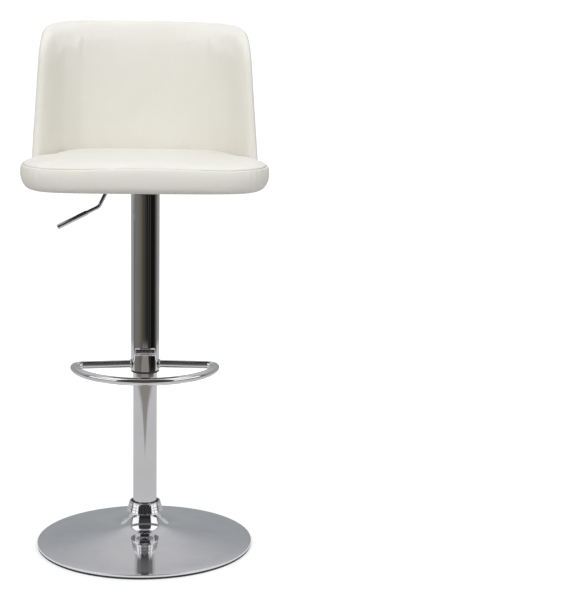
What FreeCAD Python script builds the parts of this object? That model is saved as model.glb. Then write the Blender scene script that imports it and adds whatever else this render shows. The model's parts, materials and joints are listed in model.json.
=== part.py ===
import FreeCAD, Part
import math
import os

from FreeCAD import Vector as V

# Adjustable swivel bar stool: trumpet base, gas-lift column, footrest, padded seat with a wrap-around backrest.
# Millimetres, +Z up, the sitter faces -Y. The origin is on the floor, on the column's axis.
# The stool is modelled with its seat raised to the top of the lift's travel.

# ---------------------------------------------------------------- driving dimensions
BASE_R = 225.0            # outer radius of the trumpet base
RUBBER_H = 5.0            # rubber floor ring under the rim
DISH_T = 1.3              # sheet thickness of the spun dish
THROAT_R = 38.0           # throat of the dish under the collar
THROAT_Z = 70.0

STAND_R, STAND_T = 24.7, 1.5      # lower tube, nominally 50 mm
STAND_Z0, STAND_Z1 = 14.0, 478.0
SLEEVE_R, SLEEVE_T = 29.3, 1.5    # upper cover tube, nominally 60 mm
SLEEVE_Z0, SLEEVE_Z1 = 377.0, 744.0
LIFT = 215.0                      # travel of the gas lift
STAND_I = STAND_R - STAND_T - 0.06   # outside of what sits in the lower tube
SLEEVE_I = SLEEVE_R - SLEEVE_T - 0.08  # outside of what sits in the cover tube

CYL_R, CYL_T = 14.0, 1.75         # pressure cylinder of the gas lift
CYL_Z0, CYL_Z1 = 405.0, 748.0
ROD_R = 5.0
ROD_Z0, ROD_Z1 = 8.0, 449.0

FOOT_Z = 389.5                    # centre plane of the footrest
FOOT_TUBE_R = 8.0
FOOT_R = 146.0                    # radius of its front arc
FOOT_CY = -20.0                   # centre of that arc
FOOT_BAR_Y = -2.0                 # where the two struts meet the sleeve
FOOT_SLOPE = 0.115                # the struts run slightly forwards as they go outwards

SEAT_Z0 = 763.0                   # underside of the cushion's rim
SEAM_Z = 808.0
SEAT_Z1 = 823.0                   # crown of the cushion
BOARD_Z0, BOARD_T = 767.0, 12.0
PLATE_Z1, PLATE_T = 766.0, 3.0    # steel mounting plate under the board

BACK_Z0, BACK_Z1 = 766.0, 1087.0  # lower edge and crown of the backrest
BACK_W0, BACK_W1 = 233.0, 212.5   # outer half width at the lower edge and at the crown
BACK_Y0, BACK_Y1 = 193.0, 224.0   # rear face at the lower edge and at the crown
WING_Y0, WING_Y1 = 4.0, 66.0      # front edge of the wings at the lower edge and at the crown
PAD_T, PLY_T, REAR_T = 17.0, 8.0, 6.0

LEVER_R = 4.0

os.makedirs("parts", exist_ok=True)
Z = V(0, 0, 1)


def extent(shape):
    """The true extent of a shape, from its triangles."""
    pts, _ = shape.tessellate(0.2)
    return [f(p[i] for p in pts) for i in range(3) for f in (min, max)]


def save(name, shape):
    """One STEP file per piece."""
    if shape.isNull():
        raise RuntimeError(name + " is empty")
    solids = shape.Solids
    if not solids:
        raise RuntimeError(name + " has no solid")
    shape = solids[0] if len(solids) == 1 else Part.makeCompound(solids)
    if not shape.isValid():
        shape = shape.removeSplitter()
        print("WARNING", name, "valid after refining:", shape.isValid())
    shape.exportStep("parts/" + name + ".step")
    print("%-20s solids %2d  vol %10.0f  x %.1f..%.1f y %.1f..%.1f z %.1f..%.1f" % tuple([name, len(solids), shape.Volume] + extent(shape)))


def cyl(r, z0, z1, x=0.0, y=0.0):
    return Part.makeCylinder(r, z1 - z0, V(x, y, z0), Z)


def ring(ro, ri, z0, z1, x=0.0, y=0.0):
    return cyl(ro, z0, z1, x, y).cut(cyl(ri, z0 - 1, z1 + 1, x, y))


def lathe(points):
    """A solid of revolution about Z from a closed outline of (radius, z) points."""
    pts = [V(r, 0, z) for r, z in points]
    return Part.Face(Part.makePolygon(pts + [pts[0]])).revolve(V(0, 0, 0), Z, 360)


def round_edges(shape, radius, pick):
    """Fillets the edges that pick accepts. Falls back to the plain solid."""
    edges = [e for e in shape.Edges if pick(e)]
    try:
        out = shape.makeFillet(radius, edges)
        return out if out.isValid() else shape
    except Exception:
        print("fillet skipped", radius)
        return shape


def tube_path(points, bend, radius, closed=False):
    """A round bar along straight runs joined by tangent arcs."""
    pts = [V(*p) for p in points]
    n = len(pts)
    edges = []
    last = pts[0]
    for i in range(1, n - 1):
        a, p, b = pts[i - 1], pts[i], pts[i + 1]
        u, w = (a - p).normalize(), (b - p).normalize()
        turn = math.pi - u.getAngle(w)
        r = bend[i - 1] if isinstance(bend, (list, tuple)) else bend
        t = r * math.tan(turn / 2)
        s, e = p + u * t, p + w * t
        bis = (u + w).normalize()
        c = p + bis * (r / math.cos(turn / 2))
        m = c + (p - c).normalize() * r
        edges.append(Part.LineSegment(last, s).toShape())
        edges.append(Part.Arc(s, m, e).toShape())
        last = e
    edges.append(Part.LineSegment(last, pts[-1]).toShape())
    wire = Part.Wire(edges)
    start = edges[0].valueAt(edges[0].FirstParameter)
    d = (pts[1] - pts[0]).normalize()
    prof = Part.Wire(Part.makeCircle(radius, start, d))
    return wire.makePipeShell([prof], True, False)


# ---------------------------------------------------------------- base
# Trumpet profile of the dish: steep throat, then a shallow flare out to the rim.
TRUMPET = [(31.2, 70.0), (32.5, 63.0), (34.5, 56.0), (37.4, 49.4), (41.4, 43.4), (47.4, 38.2), (56.4, 34.1), (70.0, 30.7),
           (90.0, 26.8), (115.0, 22.6), (145.0, 18.4), (175.0, 14.8), (200.0, 12.2), (218.0, 10.4), (223.6, 9.6)]


def inset(points, t):
    out = []
    for i, (r, z) in enumerate(points):
        a = points[max(i - 1, 0)]
        b = points[min(i + 1, len(points) - 1)]
        dr, dz = b[0] - a[0], b[1] - a[1]
        n = math.hypot(dr, dz)
        out.append((r + dz / n * t, z - dr / n * t))
    return out


top_curve = Part.BSplineCurve()
top_curve.interpolate([V(r, 0, z) for r, z in TRUMPET])
under = inset(TRUMPET, DISH_T)
under[0] = (under[0][0], THROAT_Z)
under[-1] = (222.0, 8.0)
under_curve = Part.BSplineCurve()
under_curve.interpolate([V(r, 0, z) for r, z in reversed(under)])
rim = [V(223.6, 0, 9.6), V(225.0, 0, 8.4), V(225.0, 0, 5.0), V(223.4, 0, 5.0), V(222.0, 0, 8.0)]
dish_edges = [top_curve.toShape(),
              Part.Arc(rim[0], V(224.62, 0, 9.25), rim[1]).toShape(),
              Part.LineSegment(rim[1], rim[2]).toShape(),
              Part.LineSegment(rim[2], rim[3]).toShape(),
              Part.LineSegment(rim[3], rim[4]).toShape(),
              under_curve.toShape(),
              Part.LineSegment(V(under[0][0], 0, THROAT_Z), V(TRUMPET[0][0], 0, THROAT_Z)).toShape()]
base_plate = Part.Face(Part.Wire(dish_edges)).revolve(V(0, 0, 0), Z, 360)
save("base_plate", base_plate)

# Rubber ring that the dish's edge stands in.
save("floor_ring", lathe([(206.0, 0.0), (223.0, 0.0), (224.4, 1.2), (224.4, 4.9), (221.9, 4.9), (221.9, 6.6),
                          (214.0, 6.6), (208.0, 3.4), (206.0, 1.5)]))

# Cast-iron weight under the dish.
ballast = lathe([(33.0, 6.9), (138.0, 6.9), (138.0, 12.9), (33.0, 12.9)])
# Flanged steel socket that carries the lower tube, bolted to the weight.
hub = lathe([(STAND_R + 0.05, 13.0), (60.0, 13.0), (60.0, 17.0), (32.0, 17.0), (28.9, 20.0), (28.9, 88.6), (STAND_R + 0.05, 88.6)])
bolts, nuts = [], []
for k in range(4):
    a = math.radians(45 + 90 * k)
    x, y = 46 * math.cos(a), 46 * math.sin(a)
    ballast = ballast.cut(cyl(3.3, 5.0, 14.0, x, y))
    hub = hub.cut(cyl(3.3, 12.0, 18.0, x, y))
    shank = cyl(3.0, 3.4, 17.0, x, y)
    head = Part.Face(Part.makePolygon([V(x + 5.6 * math.cos(math.radians(60 * i)), y + 5.6 * math.sin(math.radians(60 * i)), 17.05) for i in range(7)])).extrude(V(0, 0, 4))
    bolts.append(shank.fuse(cyl(3.0, 16.9, 17.2, x, y)).fuse(head))
    nut = Part.Face(Part.makePolygon([V(x + 5.6 * math.cos(math.radians(60 * i)), y + 5.6 * math.sin(math.radians(60 * i)), 2.6) for i in range(7)])).extrude(V(0, 0, 4.2))
    nuts.append(nut.cut(cyl(3.02, 0.0, 9.0, x, y)))
save("ballast_plate", ballast)
save("hub_socket", hub)
save("hub_bolts", Part.makeCompound(bolts))
save("hub_nuts", Part.makeCompound(nuts))

# Decorative collar over the throat: a thin round lip, then a cone with small square studs in three rows.
collar = lathe([(29.2, 70.2), (36.9, 70.2), (37.9, 70.8), (38.2, 71.7), (37.9, 72.6), (37.0, 73.2), (36.0, 73.6),
                (36.9, 74.4), (32.9, 90.4), (32.2, 91.0), (31.9, 91.8), (32.1, 92.8), (31.6, 93.8),
                (30.4, 94.3), (28.9, 93.6), (28.9, 88.9), (29.2, 88.7)])


def cone_r(z):
    """Radius of the studded cone at height z."""
    return 36.9 - (z - 74.4) * 0.25


cuts = []
for k in range(32):
    notch = Part.makeLoft([Part.makePolygon([V(cone_r(z) - 2.0, 0, z), V(cone_r(z) + 2.0, -1.8, z), V(cone_r(z) + 2.0, 1.8, z), V(cone_r(z) - 2.0, 0, z)])
                           for z in (74.2, 90.6)], True, True)
    notch.rotate(V(0, 0, 0), Z, 360.0 / 32 * k)
    cuts.append(notch)
collar = collar.cut(Part.makeCompound(cuts))
for zg in (79.7, 85.1):
    collar = collar.cut(lathe([(cone_r(zg) - 1.9, zg), (cone_r(zg) + 2.0, zg - 1.7), (cone_r(zg) + 2.0, zg + 1.7)]))
save("collar_ring", collar)
# Black ring that closes the gap between collar and tube.
save("collar_seal", lathe([(STAND_R + 0.05, 88.9), (28.7, 88.9), (28.7, 92.6), (27.4, 94.6), (STAND_R + 0.05, 95.6)]))

# Lower tube of the column, with the nylon guide that the pressure cylinder slides in.
save("stand_tube", ring(STAND_R, STAND_R - STAND_T, STAND_Z0, STAND_Z1))
save("stand_guide", lathe([(CYL_R + 0.06, STAND_Z1 - 65.0), (STAND_I, STAND_Z1 - 65.0), (STAND_I, STAND_Z1 + 0.1),
                           (STAND_R - 0.1, STAND_Z1 + 0.1), (STAND_R - 0.1, STAND_Z1 + 3.0), (CYL_R + 0.06, STAND_Z1 + 3.0)]))
# Bottom disc of the lower tube and the thrust bearing that lets the rod turn.
save("tube_end_disc", ring(STAND_I, ROD_R + 0.06, 14.0, 18.0))
save("bearing_lower_race", ring(14.0, ROD_R + 0.8, 18.05, 20.0))
balls = [Part.makeSphere(2.0, V(10 * math.cos(math.radians(36 * k)), 10 * math.sin(math.radians(36 * k)), 22.05)) for k in range(10)]
save("bearing_balls", Part.makeCompound(balls))

# ---------------------------------------------------------------- gas rod (turns with the seat, doesn't rise)
save("bearing_upper_race", ring(14.0, ROD_R + 0.02, 24.1, 26.0))
rod = cyl(ROD_R, ROD_Z0, ROD_Z1).cut(ring(8.0, 4.2, 11.3, 12.7))
rod = rod.fuse(ring(8.0, ROD_R - 0.5, 26.1, 31.0))
save("piston_rod", rod)
PZ = ROD_Z1 - 15.0
save("piston", lathe([(ROD_R + 0.02, PZ), (12.18, PZ), (12.18, PZ + 3.5), (10.8, PZ + 3.5), (10.8, PZ + 6.5), (12.18, PZ + 6.5),
                      (12.18, PZ + 10.0), (ROD_R + 0.02, PZ + 10.0)]))
clip = ring(9.0, 4.25, 11.4, 12.6).cut(Part.makeBox(12, 6, 3, V(0, -3, 11)))
save("rod_clip", clip)

# ---------------------------------------------------------------- gas cylinder and upper column (rises and turns with the seat)
cylinder = ring(CYL_R, CYL_R - CYL_T, CYL_Z0, 735.0)
cap = lathe([(4.1, 735.0), (14.0, 735.0), (13.2, CYL_Z1), (4.1, CYL_Z1)])
cylinder = cylinder.fuse(cap)
save("gas_cylinder", cylinder)
save("rod_guide", ring(12.23, ROD_R + 0.06, CYL_Z0 + 0.5, CYL_Z0 + 11.0))
save("rod_seal", ring(12.23, ROD_R + 0.04, CYL_Z0 + 11.1, CYL_Z0 + 16.0))

sleeve = ring(SLEEVE_R, SLEEVE_R - SLEEVE_T, SLEEVE_Z0, SLEEVE_Z1)
# Screw hole near the top of the cover tube, on the lever's side of the front.
SCREW_A = math.radians(217.0)
sdir = V(math.cos(SCREW_A), math.sin(SCREW_A), 0)
SCREW_Z = 709.0
hole = Part.makeCylinder(2.05, 8, sdir * 25 + V(0, 0, SCREW_Z), sdir)
sleeve = sleeve.cut(hole)
save("sleeve_tube", sleeve)
screw = Part.makeCylinder(2.0, 12.4, sdir * 16.8 + V(0, 0, SCREW_Z), sdir)
recess = Part.makeCylinder(1.0, 2.0, sdir * 27.6 + V(0, 0, SCREW_Z), sdir)
save("sleeve_screw", screw.cut(recess))
# Plastic guide at the lower end: it runs on the lower tube and shows as a thin black ring.
save("sleeve_bushing", lathe([(STAND_R + 0.08, 372.6), (28.3, 372.6), (29.0, 373.3), (29.0, 376.9), (SLEEVE_I, 376.9),
                              (SLEEVE_I, 412.0), (STAND_R + 0.08, 412.0)]))
# Ring that centres the cover tube on the taper socket.
top_ring = ring(SLEEVE_I, 19.1, 700.0, 743.0)
top_ring = top_ring.cut(Part.makeCylinder(2.06, 14, sdir * 16.5 + V(0, 0, SCREW_Z), sdir))
save("sleeve_top_ring", top_ring)

# Footrest: one bent tube welded to both sides of the cover tube.
CORNER_R = 22.0
sl = math.atan(FOOT_SLOPE)
strut = V(math.cos(sl), -math.sin(sl), 0)      # direction of the strut on the +X side
inward = V(-math.sin(sl), -math.cos(sl), 0)    # square to it, towards the front
root = V(0, FOOT_BAR_Y, FOOT_Z)
# the corner's centre lies CORNER_R in front of the strut and touches the front arc from inside
centre = V(0, FOOT_CY, FOOT_Z)
lo_t, hi_t = 20.0, FOOT_R
for _ in range(60):
    t = (lo_t + hi_t) / 2
    c = root + strut * t + inward * CORNER_R
    if (c - centre).Length > FOOT_R - CORNER_R:
        hi_t = t
    else:
        lo_t = t
c = root + strut * t + inward * CORNER_R
t_dir = (c - centre).normalize()
p_bar = root + strut * t
p_tan = c + t_dir * CORNER_R
p_mid = c + ((inward * -1) + t_dir).normalize() * CORNER_R
p_front = V(0, FOOT_CY - FOOT_R, FOOT_Z)


def mx(p):
    return V(-p.x, p.y, p.z)


p_in = root + strut * (SLEEVE_R - 1.2)
edges = [Part.LineSegment(p_in, p_bar).toShape(),
         Part.Arc(p_bar, p_mid, p_tan).toShape(),
         Part.Arc(p_tan, p_front, mx(p_tan)).toShape(),
         Part.Arc(mx(p_tan), mx(p_mid), mx(p_bar)).toShape(),
         Part.LineSegment(mx(p_bar), mx(p_in)).toShape()]
fwire = Part.Wire(edges)
prof_o = Part.Wire(Part.makeCircle(FOOT_TUBE_R, p_in, strut))
prof_i = Part.Wire(Part.makeCircle(FOOT_TUBE_R - 1.5, p_in, strut))
foot = fwire.makePipeShell([prof_o], True, False).cut(fwire.makePipeShell([prof_i], True, False))
foot = foot.cut(cyl(SLEEVE_R + 0.05, FOOT_Z - 20, FOOT_Z + 20))
save("footrest", foot)
# Weld beads where the footrest meets the cover tube.
welds = []
for s in (1, -1):
    d = V(s * strut.x, strut.y, 0)
    w = Part.makeTorus(FOOT_TUBE_R + 0.6, 1.4, root + d * (SLEEVE_R + 0.7), d)
    w = w.cut(cyl(SLEEVE_R + 0.05, FOOT_Z - 20, FOOT_Z + 20))
    w = w.cut(Part.makeCylinder(FOOT_TUBE_R + 0.03, 30, root + d * 20, d))
    welds += w.Solids
save("footrest_welds", Part.makeCompound(welds))

# ---------------------------------------------------------------- seat mechanism
# Pressed plate with turned-down sides, under the board.
PX, PY = 82.0, 72.0
P0 = PLATE_Z1 - PLATE_T
plate = Part.makeBox(2 * PX, 2 * PY, PLATE_T, V(-PX, -PY, P0))
plate = round_edges(plate, 14.0, lambda e: abs(e.BoundBox.ZLength - PLATE_T) < 1e-6 and e.BoundBox.XLength < 1e-6 and e.BoundBox.YLength < 1e-6)
for s in (1, -1):
    plate = plate.fuse(Part.makeBox(2 * 34, 2.5, 16.2, V(-34, s * 34 - (2.5 if s > 0 else 0), P0 - 16.2)))
plate = plate.cut(cyl(19.05, 700, 800))
HOLES = [(62, 54), (-62, 54), (-62, -54), (62, -54)]
for x, y in HOLES:
    plate = plate.cut(cyl(4.3, 750, 770, x, y))
# bearing holes for the lever's pivot in the two turned-down sides
PIV_X, PIV_Z = -24.5, 752.0
plate = plate.cut(Part.makeCylinder(4.06, 120, V(PIV_X, -60, PIV_Z), V(0, 1, 0)))
save("mount_plate", plate)
# Taper socket welded to the plate; the cylinder's top sits in it.
socket = lathe([(14.25, 700.0), (19.0, 700.0), (19.0, PLATE_Z1), (14.25, PLATE_Z1)])
socket = socket.cut(Part.makeBox(14, 16, 24, V(-24, -8, 747.2)))
socket = socket.cut(Part.makeCylinder(2.06, 14, sdir * 16.5 + V(0, 0, SCREW_Z), sdir))
save("taper_socket", socket)
bolts, washers, tees = [], [], []
for x, y in HOLES:
    b = cyl(4.0, P0 - 1.5, 777.0, x, y).fuse(cyl(7.0, P0 - 6.6, P0 - 1.5, x, y))
    hexa = Part.Face(Part.makePolygon([V(x + 3.2 * math.cos(math.radians(60 * i)), y + 3.2 * math.sin(math.radians(60 * i)), P0 - 7) for i in range(7)])).extrude(V(0, 0, 3.4))
    bolts.append(b.cut(hexa))
    washers.append(ring(8.0, 4.2, P0 - 1.45, P0 - 0.02, x, y))
    tees.append(ring(5.4, 4.04, 768.0, 779.0, x, y).fuse(ring(10.5, 4.04, 777.8, 779.0, x, y)))
save("plate_bolts", Part.makeCompound(bolts))
save("plate_washers", Part.makeCompound(washers))
save("tee_nuts", Part.makeCompound(tees))

# Valve button in the top of the cylinder (pressed down by the lever).
save("valve_button", lathe([(0.0, 737.0), (4.04, 737.0), (4.04, 748.0), (3.4, 749.4), (0.0, 749.8)]))

# Height lever: a pivot across the plate, an arm over the button, and a bent rod out to the sitter's right.
pivot = Part.makeCylinder(4.0, 72.0, V(PIV_X, -36, PIV_Z), V(0, 1, 0))
arm = Part.makeBox(27.0, 5.6, 3.2, V(PIV_X - 0.5, -2.8, 750.4))
rod_pts = [(PIV_X + 1.0, -12.0, PIV_Z), (-76.0, -12.0, 752.0), (-93.8, -12.0, 717.0), (-175.6, -12.0, 675.8)]
lever = tube_path(rod_pts, [12.0, 14.0], LEVER_R)
collar_l = Part.makeCylinder(6.5, 10.0, V(PIV_X, -17, PIV_Z), V(0, 1, 0))
arm_neck = Part.makeCylinder(6.5, 10.0, V(PIV_X, -5, PIV_Z), V(0, 1, 0))
lever = lever.fuse(pivot).fuse(collar_l).fuse(arm_neck).fuse(arm)
tip = V(*rod_pts[-1])
gdir = (V(*rod_pts[-1]) - V(*rod_pts[-2])).normalize()
gstart = V(*rod_pts[-2]) + gdir * 26.0
glen = (tip - gstart).Length + 2.0
grip_hole = Part.makeCylinder(LEVER_R + 0.03, (tip - gstart).Length + 0.05, gstart, gdir)
lever_rod = lever
save("lever_rod", lever_rod)
grip = Part.makeCylinder(5.2, glen, gstart, gdir)
grip = round_edges(grip, 1.4, lambda e: len(e.Vertexes) == 1 and abs(e.Length - 2 * math.pi * 5.2) < 0.1)
save("lever_grip", grip.cut(grip_hole))

# ---------------------------------------------------------------- seat
# Half outline of the cushion in plan, from the front centre round to the rear centre.
SEAT_PLAN = [(0, -208), (70, -207.5), (130, -205), (178, -197), (213, -177), (235, -143), (244.5, -100), (246, -62),
             (240, -30), (229, -13), (213, -5), (202.5, 2), (198.8, 16), (198.3, 40), (198.3, 70), (192, 106), (172, 135),
             (139, 150), (70, 157.5), (0, 160)]


def plan(points, z, grow=0.0, y_shift=0.0):
    """A closed smooth outline through a half plan mirrored about X, moved outwards by grow."""
    full = list(points) + [(-x, y) for x, y in reversed(points[1:-1])]
    n = len(full)
    out = []
    for i, (x, y) in enumerate(full):
        a, b = full[i - 1], full[(i + 1) % n]
        tx, ty = b[0] - a[0], b[1] - a[1]
        m = math.hypot(tx, ty)
        out.append(V(x + ty / m * grow, y - tx / m * grow + y_shift, z))
    c = Part.BSplineCurve()
    c.interpolate(out, PeriodicFlag=True)
    return Part.Wire(c.toShape())


def stack(sections):
    return Part.makeLoft(sections, True, True)


# The board's outline is the cushion's, pulled in and simplified, so that it has no notch.
BOARD_PLAN = [(0, -186), (70, -185.5), (128, -183), (170, -176), (199, -160), (216, -132), (222, -98), (222, -62),
              (214, -34), (200, -14), (188, 2), (181, 24), (179, 45), (178, 70), (172, 98), (156, 118), (126, 130), (66, 136), (0, 138)]
# The foam fills the cover: the same form, one cover thickness smaller.
COVER_T = 1.2


def cushion_form(t):
    rows = [(SEAT_Z0 + t, -12.0 - t * 0.6), (767.5 + t * 0.6, -5.0 - t), (775.0, -1.0 - t), (784.0, -t), (796.0, -t), (SEAM_Z, -3.5 - t),
            (814.5 - t * 0.6, -9.0 - t), (819.5 - t, -19.0 - t), (SEAT_Z1 - t, -36.0 - t)]
    return stack([plan(SEAT_PLAN, z, g) for z, g in rows])


cushion = cushion_form(COVER_T)
cover = cushion_form(0.0).cut(cushion_form(COVER_T - 0.05))
pocket = stack([plan(BOARD_PLAN, SEAT_Z0 - 2, 0.3), plan(BOARD_PLAN, BOARD_Z0 + BOARD_T + 0.1, 0.3)])
cushion = cushion.cut(pocket)
cover = cover.cut(pocket)
board = stack([plan(BOARD_PLAN, BOARD_Z0, 0.0), plan(BOARD_PLAN, BOARD_Z0 + BOARD_T, 0.0)])
for x, y in HOLES:
    board = board.cut(cyl(5.5, 760, 790, x, y)).cut(cyl(10.7, 777.6, 790, x, y))
# Thin cloth under the board, with room for the mechanism.
dust = stack([plan(BOARD_PLAN, BOARD_Z0 - 0.9, -0.3), plan(BOARD_PLAN, BOARD_Z0 - 0.1, -0.3)])
for x, y in HOLES:
    dust = dust.cut(cyl(6.5, 760, 790, x, y))

# ---------------------------------------------------------------- backrest
RC = 92.0  # plan radius of the rear corners, at the outer face


def u_plan(z, off0, off1, y_front_cut=0.0):
    """A closed U-shaped outline at height z between two offsets inwards from the outer face."""
    k = (z - BACK_Z0) / (BACK_Z1 - BACK_Z0)
    w = BACK_W0 + (BACK_W1 - BACK_W0) * k
    yr = BACK_Y0 + (BACK_Y1 - BACK_Y0) * k
    yf = WING_Y0 + (WING_Y1 - WING_Y0) * k + y_front_cut

    def side(off):
        # right half from wing tip to rear centre: line, corner arc, shallow rear arc
        ww, r = w - off, RC - off
        yo = yr - off
        sag = 10.0
        cxx, cyy = ww - r, yo - sag - r
        a0, a1 = V(ww, yf, z), V(ww, cyy, z)
        th = math.radians(82.0)
        am = V(cxx + r * math.cos(th / 2), cyy + r * math.sin(th / 2), z)
        a2 = V(cxx + r * math.cos(th), cyy + r * math.sin(th), z)
        a3 = V(0, yo, z)
        return a0, a1, am, a2, a3

    o, i = side(off0), side(off1)
    e = [Part.LineSegment(o[0], o[1]).toShape(), Part.Arc(o[1], o[2], o[3]).toShape(),
         Part.Arc(o[3], o[4], mx(o[3])).toShape(), Part.Arc(mx(o[3]), mx(o[2]), mx(o[1])).toShape(),
         Part.LineSegment(mx(o[1]), mx(o[0])).toShape(), Part.LineSegment(mx(o[0]), mx(i[0])).toShape(),
         Part.LineSegment(mx(i[0]), mx(i[1])).toShape(), Part.Arc(mx(i[1]), mx(i[2]), mx(i[3])).toShape(),
         Part.Arc(mx(i[3]), i[4], i[3]).toShape(), Part.Arc(i[3], i[2], i[1]).toShape(),
         Part.LineSegment(i[1], i[0]).toShape(), Part.LineSegment(i[0], o[0]).toShape()]
    return Part.Wire(e)


def front_mask(shrink):
    """The backrest's outline from the front, extruded through: arched top edge and rounded upper corners."""
    zb = BACK_Z0 + shrink
    w0, w1 = BACK_W0 + 2 - shrink, 217.0 - shrink
    pts_top = [V(w1 - 1.0, -60, 1040.0), V(w1 - 8.0, -60, 1061.0 - shrink * 0.5), V(196.5 - shrink, -60, 1074.5 - shrink),
               V(165.0 - shrink * 0.5, -60, 1082.0 - shrink), V(95.0, -60, 1085.8 - shrink), V(0, -60, 1087.0 - shrink)]
    full = pts_top + [mx(p) for p in reversed(pts_top[:-1])]
    c = Part.BSplineCurve()
    c.interpolate(full)
    e = [c.toShape(), Part.LineSegment(full[-1], V(-w0, -60, zb)).toShape(),
         Part.LineSegment(V(-w0, -60, zb), V(w0, -60, zb)).toShape(),
         Part.LineSegment(V(w0, -60, zb), full[0]).toShape()]
    return Part.Face(Part.Wire(e)).extrude(V(0, 400, 0))


def side_mask(shrink):
    """The wings' outline from the side: the upper front corner is rounded."""
    s = shrink
    x = -300
    p = [V(x, WING_Y0 + s, BACK_Z0 + s), V(x, 260, BACK_Z0 + s), V(x, 260, 1100), V(x, 130 + s, 1100), V(x, 112 + s, 1081 - s),
         V(x, 90 + s, 1064 - s), V(x, 69 + s, 1036.0)]
    e = [Part.LineSegment(p[0], p[1]).toShape(), Part.LineSegment(p[1], p[2]).toShape(), Part.LineSegment(p[2], p[3]).toShape(),
         Part.LineSegment(p[3], p[4]).toShape(), Part.LineSegment(p[4], p[5]).toShape(), Part.LineSegment(p[5], p[6]).toShape(),
         Part.LineSegment(p[6], p[0]).toShape()]
    return Part.Face(Part.Wire(e)).extrude(V(600, 0, 0))


def back_layer(off0, off1, shrink):
    lo = u_plan(BACK_Z0 - 0.0, off0, off1)
    hi = u_plan(BACK_Z1 + 3.0, off0, off1)
    s = Part.makeLoft([lo, hi], True, True)
    return s.common(front_mask(shrink)).common(side_mask(shrink))


rear = back_layer(0.0, REAR_T, 0.0)
shell = back_layer(REAR_T + 0.1, REAR_T + PLY_T, 9.0)
pad = back_layer(REAR_T + PLY_T + 0.1, REAR_T + PLY_T + PAD_T - COVER_T - 0.05, 0.0)
facing = back_layer(REAR_T + PLY_T + PAD_T - COVER_T, REAR_T + PLY_T + PAD_T, 0.0)
# Steel angles that carry the backrest: one leg is screwed under the seat board, the other to the bent plywood.
LEAN = math.degrees(math.atan((BACK_Y1 - BACK_Y0) / (BACK_Z1 - BACK_Z0)))
AW, AT, AH = 30.0, 3.0, 46.0
angles, screws, room = [], [], []
shell_room = back_layer(REAR_T - 1.0, REAR_T + PLY_T + 0.08, 0.0)
for x0 in (-96.0, 96.0):
    probe = shell.common(Part.makeBox(AW, 400, 2.0, V(x0 - AW / 2, -100, 776.0)))
    ys = probe.BoundBox.YMin
    mesh_pts, _ = probe.tessellate(0.1)
    ys = min(p.y for p in mesh_pts) - 0.4
    y0 = 78.0
    flat_leg = Part.makeBox(AW, ys - y0, AT, V(x0 - AW / 2, y0, BOARD_Z0 - 1.0 - AT))
    up_leg = Part.makeBox(AW, AT, AH, V(x0 - AW / 2, ys - AT, BOARD_Z0 - 1.0 - AT))
    up_leg.rotate(V(x0, ys, BOARD_Z0 - 4.0), V(1, 0, 0), -LEAN)
    angle = flat_leg.fuse(up_leg)
    clear_flat = Part.makeBox(AW + 1, ys - y0 + 1, AT + 1.0, V(x0 - AW / 2 - 0.5, y0 - 0.5, BOARD_Z0 - 1.5 - AT))
    clear_up = Part.makeBox(AW + 1, AT + 1.6, AH + 2, V(x0 - AW / 2 - 0.5, ys - AT - 0.8, BOARD_Z0 - 2.5 - AT))
    clear_up.rotate(V(x0, ys, BOARD_Z0 - 4.0), V(1, 0, 0), -LEAN)
    back_dir = V(0, math.cos(math.radians(LEAN)), -math.sin(math.radians(LEAN)))
    for dx in (-8.0, 8.0):
        sx = x0 + dx
        angle = angle.cut(cyl(2.4, 750, 780, sx, y0 + 12.0))
        screws.append(cyl(2.1, BOARD_Z0 - 1.2 - AT, 777.0, sx, y0 + 12.0).fuse(cyl(4.0, BOARD_Z0 - 3.6 - AT, BOARD_Z0 - 1.05 - AT, sx, y0 + 12.0)))
        board = board.cut(cyl(2.12, 760, 777.1, sx, y0 + 12.0))
        dust = dust.cut(cyl(3.0, 760, 780, sx, y0 + 12.0))
        c = V(sx, ys - AT, 796.0) + V(0, math.tan(math.radians(LEAN)) * (796.0 - BOARD_Z0 + 4.0), 0)
        angle = angle.cut(Part.makeCylinder(2.4, 14, c - back_dir * 4, back_dir))
        sc = Part.makeCylinder(2.1, 10.0, c - back_dir * 0.2, back_dir).fuse(Part.makeCylinder(4.0, 2.4, c - back_dir * 2.45, back_dir))
        screws.append(sc)
        shell = shell.cut(Part.makeCylinder(2.12, 10.6, c, back_dir))
        room.append(Part.makeCylinder(4.5, 3.4, c - back_dir * 3.4, back_dir))
        pad = pad.cut(Part.makeCylinder(2.2, 12.0, c - back_dir * 1.0, back_dir))
    angles.append(angle.cut(shell_room))
    room += [clear_flat, clear_up]
for r in room:
    cushion = cushion.cut(r)
    cover = cover.cut(r)
    pad = pad.cut(r)
    rear = rear.cut(r)
    dust = dust.cut(r)
save("seat_foam", cushion)
save("seat_cover", cover)
save("seat_board", board)
save("dust_cover", dust)
save("back_angles", Part.makeCompound(angles))
save("back_screws", Part.makeCompound(screws))
save("back_rear_panel", rear)
save("back_shell", shell)
save("back_foam", pad)
save("back_front_cover", facing)
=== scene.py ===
import json
import math

import bmesh
import bpy
import numpy as np
from mathutils import Matrix, Vector
from mathutils.kdtree import KDTree


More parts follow.
